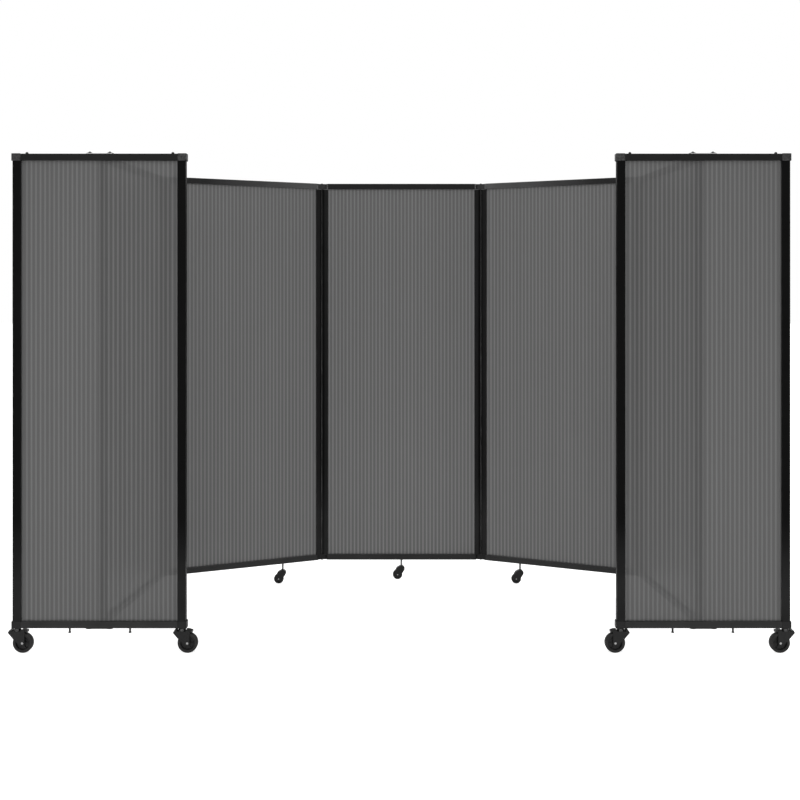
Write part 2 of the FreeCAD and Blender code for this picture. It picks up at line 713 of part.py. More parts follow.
def four_corners(name, piece):
    side = group(f"{name}_pair", piece, mirror_x(f"{name}_left", piece))
    return group(name, side, mirror_z(f"{name}_lower", side))


CASTER_X = f"({HALF_END} - stile_face / 2)"
INNER_CASTER_X = "(chain_pitch / 2 - inner_caster_inset)"

chain_sheet = fluted_sheet("chain_sheet", f"({CHAIN_STILE_FLAT} + {SHEET_INSET})",
                           f"({CHAIN_RAIL_END} - sheet_play)", "(rail_face + seat_thickness + sheet_play)")
stile = chain_stile("chain_stile")
chain_stiles = group("chain_stiles", stile, mirror_x("chain_stile_left", stile))
chain_rail = rail("chain_rail", CHAIN_RAIL_END)
lower_rail = mirror_z("chain_rail_lower", chain_rail)
chain_rails = group("chain_rails", chain_rail, lower_rail)
chain_fittings = four_corners("chain_fittings", chain_fitting("chain_fitting"))


def rails_with_socket(name, x):
    """Both rails of a chain panel that stands on a small caster, with the socket block at x."""
    hole = rod(f"{name}_hole", "(small_stem_radius + pin_fit)", BOTTOM, f"({BOTTOM} + frame_wall)", x)
    return group(name, chain_rail, cut(f"{name}_lower", lower_rail, hole), caster_socket(f"{name}_socket", x))


rails_by_panel = {
    "left_outer": chain_rails,
    "left_inner": rails_with_socket("left_inner_frame", INNER_CASTER_X),
    "centre": rails_with_socket("centre_frame", "0"),
    "right_inner": rails_with_socket("right_inner_frame", f"(-{INNER_CASTER_X})"),
    "right_outer": chain_rails,
}

end_sheet = fluted_sheet("end_sheet", f"({END_STILE_FLAT} + {SHEET_INSET})",
                         f"({END_STILE_FLAT} - sheet_play)", f"({CORNER_HEIGHT} + sheet_play)")
one_end_stile = end_stile("end_stile")
end_stiles = group("end_stiles", one_end_stile, mirror_x("end_stile_left", one_end_stile))
end_rail = cut("end_rail", rail("end_rail_bar", END_STILE_FLAT), *screw_holes("end_rail_holes", "pin_fit"))
pin_hole = rod("stop_pin_hole", "(stop_pin_radius + pin_fit)", BOTTOM, f"({BOTTOM} + frame_wall)", STOP_PIN_X)
lower_end_rail = cut("end_rail_lower", mirror_z("end_rail_mirror", end_rail),
                     pin_hole, mirror_x("stop_pin_hole_left", pin_hole))
end_rails = group("end_rails", end_rail, lower_end_rail)

block = corner_block("corner_block")
upper_blocks = group("corner_blocks_upper", block, mirror_x("corner_block_left", block))
stem_bore = rod("stem_bore", "(big_stem_radius + pin_fit)", BLOCK_BOTTOM,
                f"({BLOCK_BOTTOM} + big_stem_rise + turn_gap)", CASTER_X)
low_block = cut("corner_block_low", mirror_z("corner_block_mirror", block), stem_bore)
lower_blocks = group("corner_blocks_lower", low_block, mirror_x("corner_block_low_left", low_block))
corner_blocks = group("corner_blocks", upper_blocks, lower_blocks)

bracket = pivot_bracket("pivot_bracket")
brackets = group("pivot_brackets", bracket, mirror_z("pivot_bracket_lower", bracket))
upper_screws = screw_set("upper_screws", "head_skirt", "flange_height", "head_height")
low_screws = screw_set("low_screws", "low_head_skirt", "low_flange_height", "low_head_height")
screws = group("end_screws", upper_screws, mirror_z("lower_screws", low_screws))
pin = stop_pin("stop_pin")
stop_pins = group("stop_pins", pin, mirror_x("stop_pin_left", pin))

post = hinge_post("post")
pins = hinge_pins("pins")

big_fork_set = group("big_fork_set", big_fork("big_fork"), axle("big_axle", "big", "big_trail"))
big_wheel_set = wheel("big_wheel_set", "big", "big_trail")
pedal_one = pedal("pedal")
small_fork_set = group("small_fork_set", small_fork("small_fork"), axle("small_axle", "small", "small_trail"))
small_wheel_set = wheel("small_wheel_set", "small", "small_trail")


# How the partition stands, seen from above: each place is a point and a turn about Z

def along(place, x, y=0.0):
    """The point x along and y across from a place."""
    point, yaw = place
    turn = math.radians(yaw)
    return (point[0] + x * math.cos(turn) - y * math.sin(turn),
            point[1] + x * math.sin(turn) + y * math.cos(turn))


def stand_left():
    """Where the pieces of the left half stand, with the centre panel's middle at zero."""
    pivot, link = value(PIVOT), value(LINK)
    inner, outer = value("inner_yaw"), value("outer_yaw")
    places = {}
    joint = (-pivot, 0.0)
    turns = (("centre_post", inner / 2, link), ("inner", inner, 2 * pivot),
             ("outer_post", (inner + outer) / 2, link), ("outer", outer, 2 * pivot))
    for name, turn, length in turns:
        places[name] = (along((joint, turn), -length / 2), turn)
        joint = along((joint, turn), -length)
    places["end"] = (along((joint, 0.0), 0.0, -link), 0.0)
    return places


left = stand_left()
front = left["end"][0][1] - value(HALF_DEPTH) - value("corner_proud")
middle_y = (front + value(HALF_DEPTH)) / 2
centre_place = ((0.0, -middle_y), 0.0)


def side_place(side, name):
    """A left place moved to the shared frame, or its mirror image on the right."""
    (x, y), turn = left[name]
    return ((side * -x, y - middle_y), side * -turn)


def placement(place):
    (x, y), turn = place
    return FreeCAD.Placement(FreeCAD.Vector(x, y, 0), FreeCAD.Rotation(FreeCAD.Vector(0, 0, 1), turn))


subparts = []


def stand(label, shape, place):
    """One sub-part: a shared shape standing at its own place under its own name."""
    thing = doc.addObject("Part::Compound", f"{label}_stands")
    thing.Links = [shape]
    thing.Label = label
    thing.Placement = placement(place)
    subparts.append(thing)


def stand_chain_panel(name, place):
    stand(f"{name}_sheet", chain_sheet, place)
    stand(f"{name}_stiles", chain_stiles, place)
    stand(f"{name}_rails", rails_by_panel[name], place)
    stand(f"{name}_corner_fittings", chain_fittings, place)


def stand_small_caster(name, place, x):
    spot = (along(place, x), 180.0)
    stand(f"{name}_caster_fork", small_fork_set, spot)
    stand(f"{name}_caster_wheel", small_wheel_set, spot)


def stand_end_panel(name, place, side):
    stand(f"{name}_sheet", end_sheet, place)
    stand(f"{name}_stiles", end_stiles, place)
    stand(f"{name}_rails", end_rails, place)
    stand(f"{name}_corner_blocks", corner_blocks, place)
    stand(f"{name}_pivot_brackets", brackets, place)
    stand(f"{name}_screws", screws, place)
    stand(f"{name}_stop_pins", stop_pins, place)
    trail = 0.0 if side < 0 else 180.0
    for word, way in (("outer", side), ("inner", -side)):
        spot = (along(place, way * value(CASTER_X)), trail)
        stand(f"{name}_{word}_caster_fork", big_fork_set, spot)
        stand(f"{name}_{word}_caster_wheel", big_wheel_set, spot)
        stand(f"{name}_{word}_caster_pedal", pedal_one, spot)


stand_chain_panel("centre", centre_place)
stand_small_caster("centre", centre_place, 0.0)
for side, word in ((-1, "left"), (1, "right")):
    inner, outer = side_place(side, "inner"), side_place(side, "outer")
    stand(f"{word}_centre_hinge_post", post, side_place(side, "centre_post"))
    stand(f"{word}_centre_hinge_pins", pins, side_place(side, "centre_post"))
    stand_chain_panel(f"{word}_inner", inner)
    stand_small_caster(f"{word}_inner", inner, -side * value(INNER_CASTER_X))
    stand(f"{word}_outer_hinge_post", post, side_place(side, "outer_post"))
    stand(f"{word}_outer_hinge_pins", pins, side_place(side, "outer_post"))
    stand_chain_panel(f"{word}_outer", outer)
    stand_end_panel(f"{word}_end", side_place(side, "end"), side)

# Check every object, then write each sub-part
doc.recompute()
for thing in doc.Objects:
    if "Invalid" in thing.State or "Error" in thing.State:
        raise RuntimeError(f"{thing.Name} failed: {thing.State}")
for thing in subparts:
    if thing.Shape.isNull() or not thing.Shape.isValid() or not thing.Shape.Solids:
        raise RuntimeError(f"{thing.Label} has no valid solid")

os.makedirs("parts", exist_ok=True)
for thing in subparts:
    thing.Shape.exportStep(f"parts/{thing.Label}.step")
print(len(subparts), "sub-parts written")
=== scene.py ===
import json
import math

import bmesh
import bpy
from mathutils import Matrix, Vector


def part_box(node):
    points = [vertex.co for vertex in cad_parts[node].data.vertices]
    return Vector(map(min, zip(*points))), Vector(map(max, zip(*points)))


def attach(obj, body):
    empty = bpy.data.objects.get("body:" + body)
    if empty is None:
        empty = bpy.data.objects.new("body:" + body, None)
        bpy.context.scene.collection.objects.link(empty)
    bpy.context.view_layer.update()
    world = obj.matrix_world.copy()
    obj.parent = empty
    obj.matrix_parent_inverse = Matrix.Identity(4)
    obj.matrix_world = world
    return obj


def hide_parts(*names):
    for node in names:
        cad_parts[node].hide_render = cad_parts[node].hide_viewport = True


# Folding room partition: looks around the fixed frame. Metres, the same axes as the frame.
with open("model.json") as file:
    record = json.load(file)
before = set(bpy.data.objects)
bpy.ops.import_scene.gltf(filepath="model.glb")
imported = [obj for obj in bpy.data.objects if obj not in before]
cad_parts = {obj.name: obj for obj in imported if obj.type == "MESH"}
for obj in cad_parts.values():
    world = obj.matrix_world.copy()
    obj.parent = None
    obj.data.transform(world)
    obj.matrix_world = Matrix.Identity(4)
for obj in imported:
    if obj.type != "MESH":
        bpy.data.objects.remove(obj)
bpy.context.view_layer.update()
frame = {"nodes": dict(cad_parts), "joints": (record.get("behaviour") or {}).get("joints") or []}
nodes = frame["nodes"]
joints = {joint["name"]: joint for joint in frame["joints"]}

MM = 0.001
SIDES = ("left", "right")
END_CASTERS = [f"{side}_end_{place}_caster" for side in SIDES for place in ("outer", "inner")]
SMALL_CASTERS = ["centre_caster", "left_inner_caster", "right_inner_caster"]

# Sizes shared with the solids
FLOOR_GAP = 104 * MM
PANEL_TOP = 2083 * MM
SHEET_HALF = 4 * MM
RIB_PITCH = 19 * MM
CHAIN_NOTCH = (8 * MM, 12 * MM)
END_NOTCH = (8 * MM, 10 * MM)
END_HALF = 361 * MM
SCREW_RADIUS = 6.2 * MM
FLANGE_RADIUS = 17 * MM
FLANGE_TOP_RADIUS = 8 * MM
SCREW_SPACING = 84 * MM
KNOB_INSET = 56 * MM
BRACKET_THICKNESS = 2.5 * MM
UPPER_SCREWS = {"skirt": 4.2 * MM, "flange": 4 * MM, "head": 4.2 * MM}
LOWER_SCREWS = {"skirt": 1 * MM, "flange": 1.5 * MM, "head": 2.5 * MM}
STOP_PIN_SPACING = 252 * MM
STOP_PIN_RADIUS = 4 * MM
STOP_PIN_DROP = 22 * MM
STOP_FOOT_RADIUS = 6 * MM
STOP_FOOT_HEIGHT = 4 * MM
BIG_CASTER = {
    "tread": 42 * MM, "half_width": 13 * MM, "tyre": 10 * MM, "bore": 5.1 * MM, "boss": 9.5 * MM,
    "web": 4.5 * MM, "rim": 28.5 * MM, "axle": 4.7 * MM, "reach": 17.4 * MM,
}
SMALL_CASTER = {
    "tread": 25 * MM, "half_width": 9 * MM, "tyre": 7 * MM, "bore": 3.1 * MM, "boss": 6 * MM,
    "web": 3.2 * MM, "rim": 15.6 * MM, "axle": 2.9 * MM, "reach": 13.4 * MM,
}

# Sizes of the detail that is only made here
RIB_DIP = 0.16 * MM
STEPS_PER_RIB = 10
AXIS_HOLE = 0.02 * MM
ROUND_STEPS = 6
SOCKET_REACH = 2.2 * MM
SOCKET_DEPTH = 1.8 * MM
EDGE_ROUND = 0.6 * MM
SCREW_SHANK = (3 * MM, 12 * MM)
STOP_PIN_RISE = 17.5 * MM

# Wheels and their casters
SPOKE_SHARES = {"width": 0.23, "depth": 0.66, "inner": 0.9, "outer": 1.015}
HUB_LIP_SHARE = 0.06
RIVET_RISE_SHARE = 0.28
RACE_LOW = 91.6 * MM
RACE_STEP = 95.6 * MM
RACE_TOP = 100.6 * MM
RACE_RADIUS = 15.4 * MM
RACE_NECK_RADIUS = 12 * MM
STEM_RADIUS = 8.8 * MM
RIDGE_SIZE = (1.3 * MM, 20 * MM, 0.9 * MM)
RIDGE_START = (6 * MM, 5.8 * MM)
RIDGE_STEP = (3.6 * MM, -0.93 * MM)
STEM_LOW = 75 * MM
THREAD = {"pitch": 1.5 * MM, "root": 5.05 * MM, "crest": 5.5 * MM, "end": 4.75 * MM, "play": 0.2 * MM}

# Where the coats and the painted light change, in metres, how deep the grains are, and how the bevels are
# made
LINK_LOW = 2054 * MM
# Painted light changes over this height band: floor light on the frames, light above and shade below on the
# corner pieces and brackets
PAINTED_LIGHT_LOW = 0.3
PAINTED_LIGHT_HIGH = 0.55
REFLECTION_FULL_END = 0.43
REFLECTION_GONE_END = 0.98
COAT_GRAIN = 0.08 * MM
PLASTIC_GRAIN = 0.06 * MM
METAL_GRAIN = 0.05 * MM
RUBBER_GRAIN = 0.2 * MM
SHEET_WAVE = 0.4 * MM
SHEET_OPACITY = 0.87
WELD_REACH = 0.01 * MM
BEVEL_FROM_ANGLE = 38

# Where the camera and the lamps stand, and how large the lamps are
CAMERA_PLACE = (0, -5.193, 1.478)
CAMERA_SENSOR = 36
CAMERA_LENS = 49.42
CAMERA_SHIFT = (-0.0017, -0.1266)
LAMP_AIM = (0, 0, 1.0)
KEY = {"place": (-3.4, -5.2, 1.6), "size": (3.6, 2.6), "power": 24}
FILL = {"place": (3.8, -5.0, 1.4), "size": (3.0, 2.6), "power": 18}
BACK = {"place": (0.0, 4.5, 4.2), "size": (4.5, 2.0), "power": 40}
OVERHEAD = {"place": (0.0, -1.5, 3.0), "size": (2.6, 0.8), "power": 16}
FLOOR_SIZE = 120
FLOOR_TONE = 0.8
BACKDROP_BEHIND_SHEET = 0.24
FLOOR_BEHIND_SHEET = 0.07


# Camera, light and floor

def add_camera():
    """A level camera, whose shift frames the partition as the photograph does."""
    data = bpy.data.cameras.new("camera")
    data.sensor_width = CAMERA_SENSOR
    data.lens = CAMERA_LENS
    data.shift_x, data.shift_y = CAMERA_SHIFT
    camera = bpy.data.objects.new("camera", data)
    camera.location = CAMERA_PLACE
    camera.rotation_euler = (math.radians(90), 0, 0)
    bpy.context.scene.collection.objects.link(camera)
    bpy.context.scene.camera = camera


def add_softbox(name, lamp_sizes):
    """A soft rectangular lamp that points at the middle of the partition."""
    data = bpy.data.lights.new(name, "AREA")
    data.shape = "RECTANGLE"
    data.size, data.size_y = lamp_sizes["size"]
    data.energy = lamp_sizes["power"]
    lamp = bpy.data.objects.new(name, data)
    lamp.location = lamp_sizes["place"]
    aim = Vector(LAMP_AIM) - Vector(lamp_sizes["place"])
    lamp.rotation_euler = aim.to_track_quat("-Z", "Y").to_euler()
    bpy.context.scene.collection.objects.link(lamp)


def background_share(tree):
    """One for the rays that should see the white background, zero for those that only light."""
    path = tree.nodes.new("ShaderNodeLightPath")
    straight_or_mirrored = tree.nodes.new("ShaderNodeMath")
    straight_or_mirrored.operation = "MAXIMUM"
    any_seen = tree.nodes.new("ShaderNodeMath")
    any_seen.operation = "MAXIMUM"
    tree.links.new(path.outputs["Is Camera Ray"], straight_or_mirrored.inputs[0])
    tree.links.new(path.outputs["Is Glossy Ray"], straight_or_mirrored.inputs[1])
    tree.links.new(straight_or_mirrored.outputs[0], any_seen.inputs[0])
    tree.links.new(path.outputs["Is Transmission Ray"], any_seen.inputs[1])
    return any_seen.outputs[0]


def through_sheet(tree):
    """One where the camera looks through a see-through sheet, zero elsewhere."""
    path = tree.nodes.new("ShaderNodeLightPath")
    both = tree.nodes.new("ShaderNodeMath")
    both.operation = "MINIMUM"
    tree.links.new(path.outputs["Is Camera Ray"], both.inputs[0])
    tree.links.new(path.outputs["Transparent Depth"], both.inputs[1])
    return both.outputs[0]


def set_world():
    """White all round, but a grey backdrop where it shows through the sheets."""
    world = bpy.data.worlds.new("studio")
    world.use_nodes = True
    tree = world.node_tree
    backdrop = tree.nodes["Background"]
    level = tree.nodes.new("ShaderNodeMapRange")
    level.inputs["To Min"].default_value = 1.0
    level.inputs["To Max"].default_value = BACKDROP_BEHIND_SHEET
    tree.links.new(through_sheet(tree), level.inputs["Value"])
    tree.links.new(level.outputs["Result"], backdrop.inputs["Strength"])
    backdrop.inputs["Color"].default_value = (1, 1, 1, 1)
    bpy.context.scene.world = world


def add_floor(lift):
    """A pale floor that is white to the camera where nothing shades it, and grey through the sheets."""
    bpy.ops.mesh.primitive_plane_add(size=FLOOR_SIZE)
    floor = bpy.context.object
    floor.name = "floor"
    material = bpy.data.materials.new("floor")
    material.use_nodes = True
    tree = material.node_tree
    shader = tree.nodes["Principled BSDF"]
    colour = tree.nodes.new("ShaderNodeMapRange")
    colour.inputs["To Min"].default_value = FLOOR_TONE
    colour.inputs["To Max"].default_value = FLOOR_BEHIND_SHEET
    tree.links.new(through_sheet(tree), colour.inputs["Value"])
    tree.links.new(colour.outputs["Result"], shader.inputs["Base Color"])
    shader.inputs["Roughness"].default_value = 0.9
    shader.inputs["Specular IOR Level"].default_value = 0.0
    shader.inputs["Emission Color"].default_value = (1, 1, 1, 1)
    glow = tree.nodes.new("ShaderNodeMath")
    glow.operation = "MULTIPLY_ADD"
    glow.inputs[1].default_value = BACKDROP_BEHIND_SHEET - 1
    tree.links.new(through_sheet(tree), glow.inputs[0])
    tree.links.new(background_share(tree), glow.inputs[2])
    level = tree.nodes.new("ShaderNodeMapRange")
    level.inputs["To Max"].default_value = lift
    tree.links.new(glow.outputs[0], level.inputs["Value"])
    tree.links.new(level.outputs["Result"], shader.inputs["Emission Strength"])
    floor.data.materials.append(material)


# Materials

class Maker:
    """A node material built up around one Principled shader."""

    def __init__(self, name):
        self.material = bpy.data.materials.new(name)
        self.material.use_nodes = True
        self.tree = self.material.node_tree
        self.shader = self.tree.nodes["Principled BSDF"]
        self.place = self.node("ShaderNodeTexCoord").outputs["Object"]

    def node(self, kind, **settings):
        made = self.tree.nodes.new(kind)
        for name, setting in settings.items():
            setattr(made, name, setting)
        return made

    def link(self, source, target):
        self.tree.links.new(source, target)

    def constants(self, **values):
        for name, number in values.items():
            self.shader.inputs[name.replace("_", " ")].default_value = number

    def math(self, operation, first, second=0.0):
        made = self.node("ShaderNodeMath", operation=operation)
        for socket, item in zip(made.inputs, (first, second)):
            if isinstance(item, (int, float)):
                socket.default_value = item
            else:
                self.link(item, socket)
        return made.outputs[0]

    def noise(self, scale, detail=3.0, stretch=(1, 1, 1)):
        """Noise between about 0.3 and 0.7 with features of 1 / scale metres."""
        mapping = self.node("ShaderNodeMapping")
        mapping.inputs["Scale"].default_value = stretch
        self.link(self.place, mapping.inputs["Vector"])
        made = self.node("ShaderNodeTexNoise")
        made.inputs["Scale"].default_value = scale
        made.inputs["Detail"].default_value = detail
        self.link(mapping.outputs[0], made.inputs["Vector"])
        return made.outputs["Fac"]

    def spread(self, value, low, high, start=0.3, end=0.7):
        """The value's range start to end turned into low to high."""
        made = self.node("ShaderNodeMapRange")
        for name, number in (("From Min", start), ("From Max", end), ("To Min", low), ("To Max", high)):
            made.inputs[name].default_value = number
        self.link(value, made.inputs["Value"])
        return made.outputs["Result"]

    def height_share(self, low, high):
        """Zero below low and one above high, for nodes whose own zero is on the floor."""
        place = self.node("ShaderNodeSeparateXYZ")
        self.link(self.place, place.inputs[0])
        return self.spread(place.outputs["Z"], 0.0, 1.0, low, high)

    def blend(self, share, first, second):
        """A colour between two, given as colours or as sockets."""
        made = self.node("ShaderNodeMix", data_type="RGBA")
        self.link(share, made.inputs["Factor"])
        for socket, item in ((made.inputs[6], first), (made.inputs[7], second)):
            if isinstance(item, tuple):
                socket.default_value = (*item, 1)
            else:
                self.link(item, socket)
        return made.outputs[2]

    def colour(self, source):
        self.link(source, self.shader.inputs["Base Color"])

    def roughness(self, source):
        self.link(source, self.shader.inputs["Roughness"])

    def bump(self, height, strength, depth):
        made = self.node("ShaderNodeBump")
        made.inputs["Strength"].default_value = strength
        made.inputs["Distance"].default_value = depth
        self.link(height, made.inputs["Height"])
        self.link(made.outputs[0], self.shader.inputs["Normal"])


def grey(level, warm=0.0):
    """A grey, a little towards red where it is warm."""
    return (level * (1 + warm), level, level * (1 - warm))


def powder_finish(maker, rough, specular):
    """What all powder coats share: fine orange peel, and roughness that varies with handling."""
    maker.roughness(maker.spread(maker.noise(35, 5), rough - 0.05, rough + 0.07))
    maker.bump(maker.noise(1400, 2), 0.12, COAT_GRAIN)
    maker.constants(Specular_IOR_Level=specular)
    return maker.material


def coated_metal(name, level, rough, specular):
    """Powder coat with a faint cloudy colour."""
    maker = Maker(name)
    cloud = maker.spread(maker.noise(9, 4), 0.0, 1.0)
    maker.colour(maker.blend(cloud, grey(level * 0.7), grey(level * 1.3)))
    return powder_finish(maker, rough, specular)


def frame_coat(name, upper, lower, rough, specular):
    """The powder coat of the tall frames, painted paler near the floor as painted light thrown up from the
    floor.
    """
    maker = Maker(name)
    height_share = maker.height_share(PAINTED_LIGHT_LOW, PAINTED_LIGHT_HIGH)
    cloud = maker.spread(maker.noise(9, 4), 0.0, 1.0)
    plain_coat = maker.blend(cloud, grey(upper * 0.75), grey(upper * 1.25))
    # Painted light: the coat is paler towards the floor, standing in for light from the floor.
    floor_lit = maker.blend(cloud, grey(lower * 0.85), grey(lower * 1.15))
    maker.colour(maker.blend(height_share, floor_lit, plain_coat))
    return powder_finish(maker, rough, specular)


def hinge_post_coat(name, link, upper, lower, rough, specular):
    """The hinge posts: coated like the frames, with the same painted floor light, but their top link blocks
    are bare grey plastic.
    """
    maker = Maker(name)
    at_link = maker.height_share(LINK_LOW, LINK_LOW + 1 * MM)
    height_share = maker.height_share(PAINTED_LIGHT_LOW, PAINTED_LIGHT_HIGH)
    cloud = maker.spread(maker.noise(9, 4), 0.0, 1.0)
    mottle = maker.spread(maker.noise(150, 6), 0.0, 1.0, 0.36, 0.64)
    plain_coat = maker.blend(cloud, grey(upper * 0.75), grey(upper * 1.25))
    # Painted floor light, as on the frames.
    floor_lit = maker.blend(cloud, grey(lower * 0.85), grey(lower * 1.15))
    plastic = maker.blend(mottle, grey(link * 0.6), grey(link * 1.5))
    maker.colour(maker.blend(at_link, maker.blend(height_share, floor_lit, plain_coat), plastic))
    return powder_finish(maker, rough, specular)


def inner_rail_coat_and_reflection(outer, inner, lower, rough, specular):
    """The coat of the two inner panels' rails, paler towards the floor as painted floor light. The top ones
    carry a painted reflection, paler towards the centre panel.
    """
    maker = Maker("inner_rail_coat_and_reflection")
    height_share = maker.height_share(PAINTED_LIGHT_LOW, PAINTED_LIGHT_HIGH)
    place = maker.node("ShaderNodeSeparateXYZ")
    maker.link(maker.place, place.inputs[0])
    from_middle = maker.math("ABSOLUTE", place.outputs["X"])
    # Painted reflection: near the centre panel the top rails take the pale colour, fading to the plain coat
    # further out.
    share = maker.spread(from_middle, 0.0, 1.0, REFLECTION_FULL_END, REFLECTION_GONE_END)
    cloud = maker.spread(maker.noise(9, 4), 0.0, 1.0)
    dark = maker.blend(cloud, grey(outer * 0.85), grey(outer * 1.15))
    pale = maker.blend(cloud, grey(inner * 0.85), grey(inner * 1.15))
    floor_lit = maker.blend(cloud, grey(lower * 0.85), grey(lower * 1.15))
    maker.colour(maker.blend(height_share, floor_lit, maker.blend(share, pale, dark)))
    return powder_finish(maker, rough, specular)


def moulded_plastic(name, level, rough, specular):
    """Moulded nylon: fine spark texture, slight mottling, scuffs."""
    maker = Maker(name)
    mottle = maker.spread(maker.noise(160, 5), 0.0, 1.0)
    maker.colour(maker.blend(mottle, grey(level * 0.75), grey(level * 1.25)))
    maker.roughness(maker.spread(maker.noise(60, 4), rough - 0.07, rough + 0.08))
    maker.bump(maker.noise(2600, 3), 0.18, PLASTIC_GRAIN)
    maker.constants(Specular_IOR_Level=specular)
    return maker.material


def corner_plastic(name, upper, lower):
    """Corner pieces: grey at the top of the panels as painted light from above, and nearly black at the
    bottom as painted shade.
    """
    maker = Maker(name)
    height_share = maker.height_share(PAINTED_LIGHT_LOW, PAINTED_LIGHT_HIGH)
    mottle = maker.spread(maker.noise(150, 6), 0.0, 1.0, 0.36, 0.64)
    # Painted light on the top corner pieces, painted shade on the bottom ones.
    top = maker.blend(mottle, grey(upper * 0.35), grey(upper * 1.8))
    bottom = maker.blend(mottle, grey(lower * 0.8), grey(lower * 1.2))
    maker.colour(maker.blend(height_share, bottom, top))
    maker.roughness(maker.spread(maker.noise(70, 4), 0.42, 0.56))
    maker.bump(maker.noise(2200, 3), 0.2, COAT_GRAIN)
    maker.constants(Specular_IOR_Level=0.2)
    return maker.material


def plated_steel(name, level, rough):
    """Zinc-plated steel with fine spangle and brushed streaks."""
    maker = Maker(name)
    spangle = maker.spread(maker.noise(420, 4), 0.0, 1.0)
    maker.colour(maker.blend(spangle, grey(level * 0.82), grey(level)))
    maker.roughness(maker.spread(maker.noise(90, 4, (1, 1, 12)), rough - 0.07, rough + 0.1))
    maker.bump(maker.noise(700, 2, (1, 1, 14)), 0.08, METAL_GRAIN)
    maker.constants(Metallic=1.0)
    return maker.material


def bracket_steel(name, upper, lower, rough):
    """The pivot brackets: bright zinc on the top rail; under the bottom rail the same zinc is painted near
    black as shade.
    """
    maker = Maker(name)
    height_share = maker.height_share(PAINTED_LIGHT_LOW, PAINTED_LIGHT_HIGH)
    spangle = maker.spread(maker.noise(420, 4), 0.0, 1.0)
    bright = maker.blend(spangle, grey(upper * 0.82), grey(upper))
    # Painted shade: under the bottom rail the zinc is near black, as if in shadow.
    black = maker.blend(spangle, grey(lower * 0.8), grey(lower))
    maker.colour(maker.blend(height_share, black, bright))
    maker.roughness(maker.spread(maker.noise(90, 4), rough - 0.07, rough + 0.1))
    maker.bump(maker.noise(700, 2), 0.08, METAL_GRAIN)
    maker.constants(Metallic=1.0)
    return maker.material


def tyre_rubber():
    """Worn rubber: dust on the tread, dark sides."""
    maker = Maker("tyre_rubber")
    dust = maker.spread(maker.noise(110, 6), 0.0, 1.0, 0.42, 0.72)
    maker.colour(maker.blend(dust, grey(0.009), grey(0.026, 0.04)))
    maker.roughness(maker.spread(maker.noise(240, 4), 0.55, 0.8))
    maker.bump(maker.noise(900, 4), 0.3, RUBBER_GRAIN)
    maker.constants(Specular_IOR_Level=0.25)
    return maker.material


def fluted_plastic(name, upper, lower, line):
    """Smoky twin-wall sheet: the upright ribs show as paler lines through the tinted skin.
    The tint is weighed by upper at the top edge and by lower at the floor, which paints light onto the lower
    part of the sheets."""
    maker = Maker(name)
    across = maker.node("ShaderNodeSeparateXYZ")
    maker.link(maker.place, across.inputs[0])
    turns = maker.math("DIVIDE", across.outputs["X"], RIB_PITCH)
    phase = maker.math("MULTIPLY", turns, 2 * math.pi)
    wave = maker.math("COSINE", phase)
    rib = maker.spread(wave, 0.0, 1.0, -0.15, 0.95)
    streak = maker.spread(maker.noise(26, 3, (1, 1, 0.004)), 0.0, 1.0)
    base = maker.blend(streak, grey(0.0715), grey(0.0775))
    pale = maker.blend(streak, grey(line * 0.94), grey(line * 1.06))
    # Painted light: the sheets grow paler towards the floor.
    weight = maker.spread(across.outputs["Z"], lower, upper, 0.0, PANEL_TOP)
    weighed = maker.node("ShaderNodeVectorMath", operation="SCALE")
    maker.link(maker.blend(rib, base, pale), weighed.inputs[0])
    maker.link(weight, weighed.inputs["Scale"])
    maker.colour(weighed.outputs[0])
    maker.roughness(maker.spread(maker.noise(40, 4, (1, 1, 0.05)), 0.3, 0.42))
    maker.bump(maker.noise(60, 3, (1, 1, 0.06)), 0.06, SHEET_WAVE)
    inner_side = maker.node("ShaderNodeNewGeometry").outputs["Backfacing"]
    maker.link(maker.spread(inner_side, SHEET_OPACITY, 0.0, 0.0, 1.0), maker.shader.inputs["Alpha"])
    maker.constants(Specular_IOR_Level=0.3)
    return maker.material


# New pieces

def finished_mesh(name, mesh, sharp_angle):
    """The mesh made ready: shaded smooth, but sharp where faces meet at more than the angle."""
    bmesh.ops.recalc_face_normals(mesh, faces=mesh.faces)
    data = bpy.data.meshes.new(name)
    mesh.to_mesh(data)
    mesh.free()
    for polygon in data.polygons:
        polygon.use_smooth = True
    data.set_sharp_from_angle(angle=math.radians(sharp_angle))
    return data


def add_piece(name, data, place, body, material, replaced=()):
    """A new piece at its place, riding on its body."""
    if not data.materials:
        data.materials.append(material)
    piece = bpy.data.objects.new(name, data)
    piece.matrix_world = place
    bpy.context.scene.collection.objects.link(piece)
    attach(piece, body)
    if replaced:
        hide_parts(*replaced)
    return piece


# Sheets: corrugated slabs in the frames' grooves, notched at the corners like the solids

def sheet_columns(half_width, notch_x):
    """Where the outline's columns stand: some to each rib, and at the edges and the notches."""
    step = RIB_PITCH / STEPS_PER_RIB
    count = math.floor(half_width / step)
    places = [n * step for n in range(-count, count + 1)]
    edges = (-half_width, -notch_x, notch_x, half_width)
    places = [p for p in places if min(abs(p - edge) for edge in edges) > step / 4]
    return sorted(places + list(edges))


def rib_surface(x):
    """Half the sheet's thickness at x: the skin dips a little at each rib."""
    wave = 0.5 + 0.5 * math.cos(2 * math.pi * x / RIB_PITCH)
    return SHEET_HALF - RIB_DIP * wave ** 3


